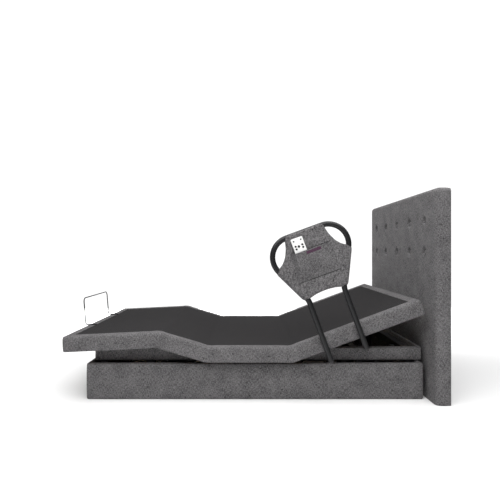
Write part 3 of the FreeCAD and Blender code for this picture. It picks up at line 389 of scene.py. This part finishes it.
faces = grid_faces(len(stations), columns, wrap=True)


def part_of(x):
    return "back" if x > SPLIT_SEAT else "thigh" if x > SPLIT_THIGH else "calf"


covers = {}
for part in ("back", "thigh", "calf"):
    mine = [f for f in faces if part_of(np.mean([flat[k][0] for k in f])) == part]
    used = sorted({k for f in mine for k in f})
    where = {k: i for i, k in enumerate(used)}
    points = to_rest(flat[used], part)
    mine = [[where[k] for k in f] for f in mine]
    covers[part] = build(f"{part}_cover", points, mine, cover_uv[used])

# dark top panels, tucked under the border's seam
TUCK, SEAM_Z, PANEL_RISE, PANEL_EASE = 0.002, 0.3022, 0.0022, 0.012
PANEL_SPANS = {"back": (SPLIT_SEAT, HEAD_X - BORDER + TUCK), "thigh": (SPLIT_THIGH, SPLIT_SEAT),
               "calf": (FOOT_X + BORDER - TUCK, SPLIT_THIGH)}
for part, (xa, xb) in PANEL_SPANS.items():
    xs = np.linspace(xa, xb, max(12, round((xb - xa) / 0.008)) + 1)
    half = DECK_HALF - BORDER + TUCK
    ys = np.linspace(-half, half, 91)
    X, Y = np.meshgrid(xs, ys, indexing="ij")
    ends = np.minimum(X - (FOOT_X + BORDER), (HEAD_X - BORDER) - X) + TUCK
    edge = np.minimum(half - np.abs(Y), ends)
    Z = SEAM_Z + PANEL_RISE * smooth_step(edge / PANEL_EASE)
    grid = np.column_stack([X.ravel(), Y.ravel(), Z.ravel()])
    covers[part + "_panel"] = build(f"{part}_panel", to_rest(grid, part),
                                    grid_faces(len(xs), len(ys)), grid[:, :2], dark_cloth)

for part in ("back", "thigh", "calf"):
    for key in (part, part + "_panel"):
        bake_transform(covers[key])
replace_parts(covers["back"], "back_skirt", "seat_skirts")
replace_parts(covers["thigh"], "thigh_skirts")
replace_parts(covers["calf"], "calf_skirt")
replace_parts(covers["back_panel"], "back_top_panel", "seat_top_panel")
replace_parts(covers["thigh_panel"], "thigh_top_panel")
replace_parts(covers["calf_panel"], "calf_top_panel")


# ---- plinths: upholstered boards with soft edges -------------------------------------
JOINT_DEPTH, JOINT_HALF = 0.0035, 0.0016


def plinth(name, x0, x1, half, low, high, thick, radius, bow, joints=()):
    """A ring of padded boards; the face swells by bow, and each joint is a narrow vertical gap."""
    r = 0.006
    profile = [(thick, low + 0.004), (thick, high - 0.004), (thick - 0.003, high - 0.001),
               (thick * 0.5, high), (r, high - 0.0006), (r * 0.35, high - 0.0028),
               (0.0, high - 0.007)]
    for t in np.linspace(0.06, 0.94, 14):
        profile.append((-bow * math.sin(math.pi * t) ** 0.6, high - (high - low) * t))
    profile += [(0.0005, low + 0.004), (0.003, low + 0.0005), (0.008, low), (thick, low + 0.0005)]
    breaks = [j + d * JOINT_HALF for j in joints for d in (-1, -0.5, 0, 0.5, 1)]
    stations, at = rounded_loop(x0, x1, -half, half, radius, breaks, 0.02)
    points, uvs = [], []
    u, previous = 0.0, None
    for st in stations:
        p = at(st, 0.0)
        u += math.dist(previous, p) if previous else 0.0
        previous = p
        away = min([abs(p[0] - j) for j in joints] or [1.0])
        sink = JOINT_DEPTH if st[0] == "x" and away < JOINT_HALF * 0.8 else 0.0
        v, last = 0.0, None
        for inset, z in profile:
            v += math.dist(last, (inset, z)) if last else 0.0
            last = (inset, z)
            points.append((*at(st, min(inset + sink, thick)), z))
            uvs.append((u, v))
    return build(name, points, grid_faces(len(stations), len(profile), wrap=True), uvs)


OUTER_BASE = dict(x0=-0.944, x1=0.944, half=0.479, low=0.0, high=0.201, thick=0.025,
                  radius=0.012, bow=0.0022)
INNER_PLINTH = dict(x0=-0.915, x1=0.955, half=0.426, low=0.203, high=0.282, thick=0.018,
                    radius=0.008, bow=0.0012, joints=(-0.889,))
outer = plinth("outer_base", **OUTER_BASE)
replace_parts(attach(outer, "base"), "outer_base_panels")

inner = plinth("inner_plinth", **INNER_PLINTH)
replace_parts(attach(inner, "base"), "inner_plinth_sides", "inner_plinth_ends")


# ---- headboard: stuffed cover pulled in at two rows of covered buttons ----------------
HB_X, HB_T, HB_HALF, HB_H, HB_R = 0.969, 0.083, 0.574, 1.175, 0.026
CROWN, CROWN_REACH = 0.0015, 0.09
TUFT_Y, TUFT_Z = (-0.428, -0.214, 0.0, 0.214, 0.428), (0.824, 1.001)
TUFT_DEPTH, TUFT_FLAT, TUFT_REACH = 0.0140, 0.0120, 0.020
CREASE_DEPTH, CREASE_WIDE, CREASE_TALL = 0.0070, 0.0050, 0.034  # the upright fold at each tuft


def spaced_lines(low, high, centres, fine=0.003, coarse=0.014, near=0.045):
    """Grid lines, fine near the centres and both ends and coarse elsewhere."""
    values = [low]
    while values[-1] < high - 1e-6:
        close = min(abs(values[-1] - c) for c in list(centres) + [low, high])
        values.append(values[-1] + (fine if close < near else coarse))
    values = np.array(values)
    return low + (values - low) * (high - low) / (values[-1] - low)


def edge_loop(rows, columns):
    """The outer points of a grid of points, in order round it."""
    return ([i * columns for i in range(rows)] + [(rows - 1) * columns + j for j in range(1, columns)]
            + [i * columns + columns - 1 for i in range(rows - 2, -1, -1)]
            + list(range(columns - 2, 0, -1)))


def headboard():
    """A closed board: tufted front with a rolled rim, sides in rings, and a flat back."""
    ys = spaced_lines(-HB_HALF, HB_HALF, TUFT_Y)
    zs = spaced_lines(0.0, HB_H, TUFT_Z)
    Y, Z = [g.ravel() for g in np.meshgrid(ys, zs, indexing="ij")]
    # square grid corners at the top are drawn in to the corner radius
    cy, cz = np.sign(Y) * (HB_HALF - HB_R), HB_H - HB_R
    vy, vz = np.abs(Y) - (HB_HALF - HB_R), Z - cz
    corner = (vy > 0) & (vz > 0)
    scale = np.where(corner, np.maximum(vy, vz) / np.maximum(np.hypot(vy, vz), 1e-9), 1.0)
    y = np.where(corner, cy + np.sign(Y) * vy * scale, Y)
    z = np.where(corner, cz + vz * scale, Z)
    edge = np.minimum(HB_HALF - np.abs(Y), HB_H - Z)
    t = np.clip(1 - edge / HB_R, 0, 1)
    x = HB_R * (1 - np.sqrt(1 - t ** 2))
    x += CROWN * smooth_step(1 - np.clip(edge - HB_R, 0, CROWN_REACH) / CROWN_REACH)
    for ty in TUFT_Y:
        for tz in TUFT_Z:
            r = np.hypot(y - ty, (z - tz) * 0.88)
            pull = 1 - smooth_step((r - TUFT_FLAT) / TUFT_REACH)
            x += TUFT_DEPTH * pull ** 1.6
            crease = np.exp(-np.abs(y - ty) / CREASE_WIDE) * np.exp(-((z - tz) / CREASE_TALL) ** 2)
            x += CREASE_DEPTH * crease * (r > TUFT_FLAT * 0.9)
    front = np.column_stack([HB_X + np.minimum(x, HB_R + CROWN), y, z])
    back_x = np.full(len(y), HB_X + HB_T)
    back = np.column_stack([back_x, y * 0.997, np.minimum(z, HB_H - 0.002)])
    rows, columns = len(ys), len(zs)
    faces = grid_faces(rows, columns)
    n = len(front)
    loop = edge_loop(rows, columns)
    points = np.vstack([front, back])
    tops = [f[::-1] for f in faces] + [tuple(k + n for k in f) for f in faces]
    rings = [0.034, 0.045, 0.062, 0.076, 0.081]
    extra = []
    for depth in rings:
        roll = 0.003 if depth > 0.080 else 0.001 if depth > 0.075 else 0.0
        for k in loop:
            yy, zz = front[k][1], front[k][2]
            extra.append((HB_X + depth, yy - np.sign(yy) * roll * (abs(yy) > HB_HALF - 0.03),
                          zz - roll * (zz > HB_H - 0.03)))
    points = np.vstack([points, extra])
    around = len(loop)
    levels = [loop] + [[2 * n + r * around + i for i in range(around)] for r in range(len(rings))]
    levels.append([k + n for k in loop])
    for low, high in zip(levels, levels[1:]):
        for i in range(around):
            j = (i + 1) % around
            tops.append((low[i], low[j], high[j], high[i]))
    depth = points[:, 0] - HB_X
    side, top = np.abs(points[:, 1]) > HB_HALF - HB_R, points[:, 2] > HB_H - HB_R
    uvs = np.column_stack([points[:, 1] + np.sign(points[:, 1]) * depth * side,
                           points[:, 2] + depth * top])
    return build("headboard_cover", points, tops, uvs)


head_cover = headboard()
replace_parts(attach(head_cover, "base"), "headboard")


# ---- organiser: a padded panel wrapped round the rail, with a pocket and tag ---------------
RAIL_X, RAIL_Y, PAD_HALF = 0.481, -0.557, 0.019
PAD_CENTRE_N = 0.400
PAD_FILL = 0.92
PAD_MARGIN = 0.0030  # the remesh draws the edge in by about this much
PAD_RIM = 0.075  # share of the pad's radius over which its edge rounds off
PAD_GAP, FACE_GAP = 0.0004, 0.0006  # how far the cover stays inside the pad's two faces
PAD_EDGE = ((112, 583), (113, 560), (124, 515), (143, 472), (170, 440), (199, 422), (219, 402),
            (129, 216), (99, 215), (50, 227), (0, 231))
POCKET_LOW, POCKET_TOP = 0.314, 0.473
HAND_X, HAND_HALF, HAND_LOW = -0.054, 0.032, 0.401
HAND_BULGE = 0.0245
POCKET_Y, POCKET_THICK = RAIL_Y - PAD_HALF - 0.0008, 0.0019


def on_back(dx, y, n):
    """Points across the rail, in depth and up from the flat deck, at the stored back angle."""
    flat = np.column_stack([RAIL_X + np.asarray(dx), np.asarray(y), DECK_TOP + np.asarray(n)])
    return turn(flat, (BACK_HINGE, HINGE_Z), BACK_ANGLE)


def pad_outline(samples=260):
    """The pad's edge, eased at its corners, as evenly spaced points."""
    right = [(x / 1000, n / 1000) for x, n in PAD_EDGE]
    loop = np.array(right + [(-x, n) for x, n in right[-2::-1]])
    closed = np.vstack([loop, loop[:1]])
    along = np.r_[0, np.cumsum(np.hypot(*np.diff(closed, axis=0).T))]
    at = np.linspace(0, along[-1], samples, endpoint=False)
    edge = np.column_stack([np.interp(at, along, closed[:, k]) for k in (0, 1)])
    for _ in range(6):
        edge = (np.roll(edge, 1, 0) + 2 * edge + np.roll(edge, -1, 0)) / 4
    away = edge - (0.0, PAD_CENTRE_N)
    return edge + PAD_MARGIN * away / np.linalg.norm(away, axis=1)[:, None]


def organiser_pad():
    """The pad's closed shape on the flat deck: rings inwards from its edge on both faces."""
    edge = pad_outline()
    centre = np.array([0.0, PAD_CENTRE_N])
    inner = list(np.linspace(0.03, 0.80, 16)) + [0.85, 0.89, 0.925, 0.95, 0.97, 0.985, 0.995]
    rings = [(f, -1) for f in inner] + [(1.0, 0)] + [(f, 1) for f in inner[::-1]]
    points = []
    for fraction, side in rings:
        rim = min((1 - fraction) / PAD_RIM, 1.0)
        y = RAIL_Y + side * PAD_FILL * PAD_HALF * math.sqrt(1 - (1 - rim) ** 2)
        ring = centre + (edge - centre) * fraction
        points += [(p[0], y, p[1]) for p in ring]
    n, rows = len(edge), len(rings)
    faces = [(r * n + i, r * n + (i + 1) % n, (r + 1) * n + (i + 1) % n, (r + 1) * n + i)
             for r in range(rows - 1) for i in range(n)]
    points += [(0, points[0][1], PAD_CENTRE_N), (0, points[-1][1], PAD_CENTRE_N)]
    first, last = rows * n, rows * n + 1
    faces += [(first, (i + 1) % n, i) for i in range(n)]
    faces += [(last, (rows - 1) * n + i, (rows - 1) * n + (i + 1) % n) for i in range(n)]
    return build("organiser_cover", points, faces, None, cloth_object)


def evaluated(obj):
    graph = bpy.context.evaluated_depsgraph_get()
    return bpy.data.meshes.new_from_object(obj.evaluated_get(graph))


def coords(mesh):
    values = np.zeros(len(mesh.vertices) * 3)
    mesh.vertices.foreach_get("co", values)
    return values.reshape(-1, 3)


def puffed(obj, voxel, cap, pressure=4.0, frames=20):
    """Remesh evenly, swell under cloth pressure, and limit how far any point moves."""
    remesh = obj.modifiers.new("remesh", "REMESH")
    remesh.mode = "VOXEL"
    remesh.voxel_size = voxel
    mesh = evaluated(obj)
    obj.modifiers.clear()
    obj.data = mesh
    before = coords(mesh)
    cloth_mod = obj.modifiers.new("cloth", "CLOTH")
    cloth_mod.settings.use_pressure = True
    cloth_mod.settings.uniform_pressure_force = pressure
    cloth_mod.settings.effector_weights.gravity = 0
    cloth_mod.point_cache.frame_start = 1
    cloth_mod.point_cache.frame_end = frames
    for number in range(1, frames + 1):
        bpy.context.scene.frame_set(number)
    after = coords(evaluated(obj))
    obj.modifiers.clear()
    bpy.context.scene.frame_set(1)
    move = after - before
    far = np.linalg.norm(move, axis=1)[:, None]
    capped = before + move * np.minimum(1, cap / np.maximum(far, 1e-9))
    mesh.vertices.foreach_set("co", capped.ravel())
    mesh.polygons.foreach_set("use_smooth", [True] * len(mesh.polygons))
    mesh.update()


def settle_pad(obj):
    """Hold the pad to its depth, flat behind the pocket, and carry it to the stored angle."""
    p = coords(obj.data)
    p[:, 1] = RAIL_Y + np.clip(p[:, 1] - RAIL_Y, -PAD_HALF + PAD_GAP, PAD_HALF - PAD_GAP)
    behind = smooth_step((0.118 - np.abs(p[:, 0])) / 0.008)
    behind *= smooth_step((p[:, 2] - POCKET_LOW + 0.006) / 0.008) * smooth_step(
        (POCKET_TOP - p[:, 2]) / 0.010)
    behind *= p[:, 1] < RAIL_Y - 0.006
    p[:, 1] += behind * (RAIL_Y - PAD_HALF + FACE_GAP - p[:, 1])
    obj.data.vertices.foreach_set("co", on_back(*p.T).ravel())
    obj.data.update()


def pocket_lift(dx, n):
    """How far the pocket's cloth stands off the pad: over the handset, easing to its seams."""
    across = 1 - smooth_step((np.abs(dx - HAND_X) - HAND_HALF - 0.003) / 0.022)
    wide = 1 - smooth_step((dx - HAND_X - HAND_HALF) / (0.113 - HAND_X - HAND_HALF))
    up = smooth_step((n - POCKET_LOW) / (HAND_LOW - POCKET_LOW - 0.006))
    height = np.clip((n - POCKET_LOW) / (POCKET_TOP - POCKET_LOW), 0, 1)
    rest = 0.0022 * np.sin(np.pi * height) ** 0.5
    return up * HAND_BULGE * np.maximum(across, (dx > HAND_X) * wide ** 2.2) + rest


def pocket():
    """A panel of doubled cloth, open along its top edge, with a rolled hem there."""
    xs = np.linspace(-0.114, 0.1135, 92)
    ns = np.r_[np.linspace(POCKET_LOW, POCKET_TOP - 0.012, 46),
               np.linspace(POCKET_TOP - 0.0105, POCKET_TOP, 8)]
    X, N = np.meshgrid(xs, ns, indexing="ij")
    dx, n = X.ravel(), N.ravel()
    hem = 0.0008 * np.exp(-((n - POCKET_TOP + 0.004) / 0.004) ** 2)
    stitch = 0.0006 * np.exp(-((n - POCKET_TOP + 0.0115) / 0.0009) ** 2)
    lift = pocket_lift(dx, n) + hem - stitch
    sides = smooth_step(np.minimum(dx - xs[0], xs[-1] - dx) / 0.006)
    low = smooth_step((n - POCKET_LOW) / 0.006)
    face = POCKET_Y - lift * np.minimum(sides, low)
    inner = face + POCKET_THICK
    rows, columns = len(xs), len(ns)
    count = rows * columns
    loop = edge_loop(rows, columns)
    faces = [tuple(f) for f in grid_faces(rows, columns)]
    faces += [tuple(k + count for k in f[::-1]) for f in grid_faces(rows, columns)]
    faces += [(a, a + count, b + count, b) for a, b in zip(loop, loop[1:] + loop[:1])]
    flat = np.vstack([np.column_stack([dx, face, n]), np.column_stack([dx, inner, n])])
    return build("organiser_pocket_cover", on_back(*flat.T), faces, flat[:, [0, 2]])


def tag():
    """A narrow woven label lying on the pocket's slope, right of the handset."""
    xs, ns = np.linspace(-0.0300, 0.0550, 40), np.linspace(0.450, 0.466, 8)
    X, N = np.meshgrid(xs, ns, indexing="ij")
    dx, n = X.ravel(), N.ravel()
    y = POCKET_Y - pocket_lift(dx, n) - 0.0009
    uv = np.column_stack([dx, n])
    faces = grid_faces(len(xs), len(ns))
    return build("organiser_tag_cloth", on_back(dx, y, n), faces, uv, tag_cloth)


def dark_cord(name, dx, n, y, radius=0.0015):
    """A thin raised cord of near-black thread along points on the pad: the pocket's bottom stitching,
    and along its opening a painted shadow line.
    """
    path = on_back(dx, y, n)
    tangent = np.gradient(path, axis=0)
    tangent /= np.linalg.norm(tangent, axis=1)[:, None]
    side = np.cross(tangent, (0, 1, 0))
    angles = np.linspace(0, 2 * math.pi, 7)[:-1]
    points = [p + radius * (math.cos(a) * s + math.sin(a) * np.array((0, 1, 0)))
              for p, s in zip(path, side) for a in angles]
    k = len(angles)
    faces = [(i * k + j, i * k + (j + 1) % k, (i + 1) * k + (j + 1) % k, (i + 1) * k + j)
             for i in range(len(path) - 1) for j in range(k)]
    faces += [tuple(range(k))[::-1], tuple(range((len(path) - 1) * k, len(path) * k))]
    return build(name, np.array(points), faces, None, cord_and_shadow_cloth)


organiser = organiser_pad()
puffed(organiser, 0.005, 0.004)
settle_pad(organiser)
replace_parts(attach(organiser, "back_section"), "organiser_pad")

pocket_cover = pocket()
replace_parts(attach(pocket_cover, "back_section"), "organiser_pocket")

tag_piece = tag()
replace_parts(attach(tag_piece, "back_section"), "organiser_tag")

SEAM_POINTS, SHADOW_LINE_POINTS, SHADOW_LINE_RADIUS = 60, 50, 0.0017
seam_x = np.linspace(-0.121, 0.119, SEAM_POINTS)
seam_n, seam_y = np.full(SEAM_POINTS, POCKET_LOW), np.full(SEAM_POINTS, RAIL_Y - PAD_HALF)
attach(dark_cord("pocket_bottom_seam", seam_x, seam_n, seam_y), "back_section")
# the dark cord along the pocket's opening is painted shadow: the shade in the gap under the opening's
# edge, drawn as a near-black cord
shadow_line_x = np.linspace(HAND_X + HAND_HALF + 0.004, 0.1125, SHADOW_LINE_POINTS)
shadow_line_n = np.full(SHADOW_LINE_POINTS, POCKET_TOP + 0.0006)
shadow_line_y = POCKET_Y - pocket_lift(shadow_line_x, shadow_line_n) * smooth_step((0.1135 - shadow_line_x) / 0.006)
pocket_shadow_line = dark_cord("pocket_top_painted_shadow", shadow_line_x, shadow_line_n, shadow_line_y, SHADOW_LINE_RADIUS)
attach(pocket_shadow_line, "back_section")


# ---- camera, light and floor ------------------------------------------------------------
CAMERA_AT, CAMERA_LENS, SENSOR = (-0.0274, -2.713, 0.836), 28.73, 36
FILL, BACKDROP = 0.13, 1.1
camera = bpy.data.objects.new("camera", bpy.data.cameras.new("camera"))
bpy.context.scene.collection.objects.link(camera)
camera.location = CAMERA_AT
camera.rotation_euler = (math.radians(90), 0, 0)
camera.data.sensor_width = SENSOR
camera.data.lens = CAMERA_LENS
bpy.context.scene.camera = camera
bpy.context.scene.view_settings.view_transform = "Standard"

# seen directly the world is white; as a light it is only a weak fill
world = bpy.context.scene.world or bpy.data.worlds.new("world")
bpy.context.scene.world = world
world.use_nodes = True
fill = world.node_tree.nodes["Background"]
fill.inputs["Color"].default_value = (1, 1, 1, 1)
fill.inputs["Strength"].default_value = FILL
backdrop = add(world.node_tree, "ShaderNodeBackground", Strength=BACKDROP)
seen = add(world.node_tree, "ShaderNodeLightPath")
choose = add(world.node_tree, "ShaderNodeMixShader")
surface = world.node_tree.nodes["World Output"].inputs["Surface"]
for output, socket in ((seen.outputs["Is Camera Ray"], choose.inputs[0]),
                       (fill.outputs[0], choose.inputs[1]),
                       (backdrop.outputs[0], choose.inputs[2]), (choose.outputs[0], surface)):
    world.node_tree.links.new(output, socket)
backdrop.inputs["Color"].default_value = (1, 1, 1, 1)


def area(name, location, target, size, power, spread=180):
    """A rectangular light aimed at a point; power in watts, spread in degrees."""
    light = bpy.data.objects.new(name, bpy.data.lights.new(name, "AREA"))
    bpy.context.scene.collection.objects.link(light)
    light.location = location
    light.rotation_euler = (Vector(target) - Vector(location)).to_track_quat("-Z", "Y").to_euler()
    light.data.shape = "RECTANGLE"
    light.data.size, light.data.size_y = size
    light.data.energy = power
    light.data.spread = math.radians(spread)


area("overhead", (0, -0.9, 3.0), (0, 0, 0.2), (5.0, 4.0), 200)
area("front", (-0.6, -3.6, 3.2), (0, 0, 0.4), (4.0, 2.0), 52)
area("floor_wash", (0, 3.0, 3.0), (0, 3.0, 0), (9.0, 3.2), 260, 60)

FLOOR_HALF, FLOOR_NEAR, FLOOR_FAR, FLOOR_DROP, FLOOR_WHITE = 6, -5, 3.0, 0.001, 0.95
floor_mesh = bpy.data.meshes.new("floor")
floor_mesh.from_pydata([(-FLOOR_HALF, FLOOR_NEAR, 0), (FLOOR_HALF, FLOOR_NEAR, 0),
                        (FLOOR_HALF, FLOOR_FAR, 0), (-FLOOR_HALF, FLOOR_FAR, 0)], [], [(0, 1, 2, 3)])
floor = bpy.data.objects.new("floor", floor_mesh)
bpy.context.scene.collection.objects.link(floor)
floor_material, _, floor_bsdf = new_material("pale_floor")
floor_bsdf.inputs["Base Color"].default_value = (FLOOR_WHITE, FLOOR_WHITE, FLOOR_WHITE, 1)
floor_bsdf.inputs["Roughness"].default_value = 0.9
floor.data.materials.append(floor_material)
floor.location.z = -FLOOR_DROP
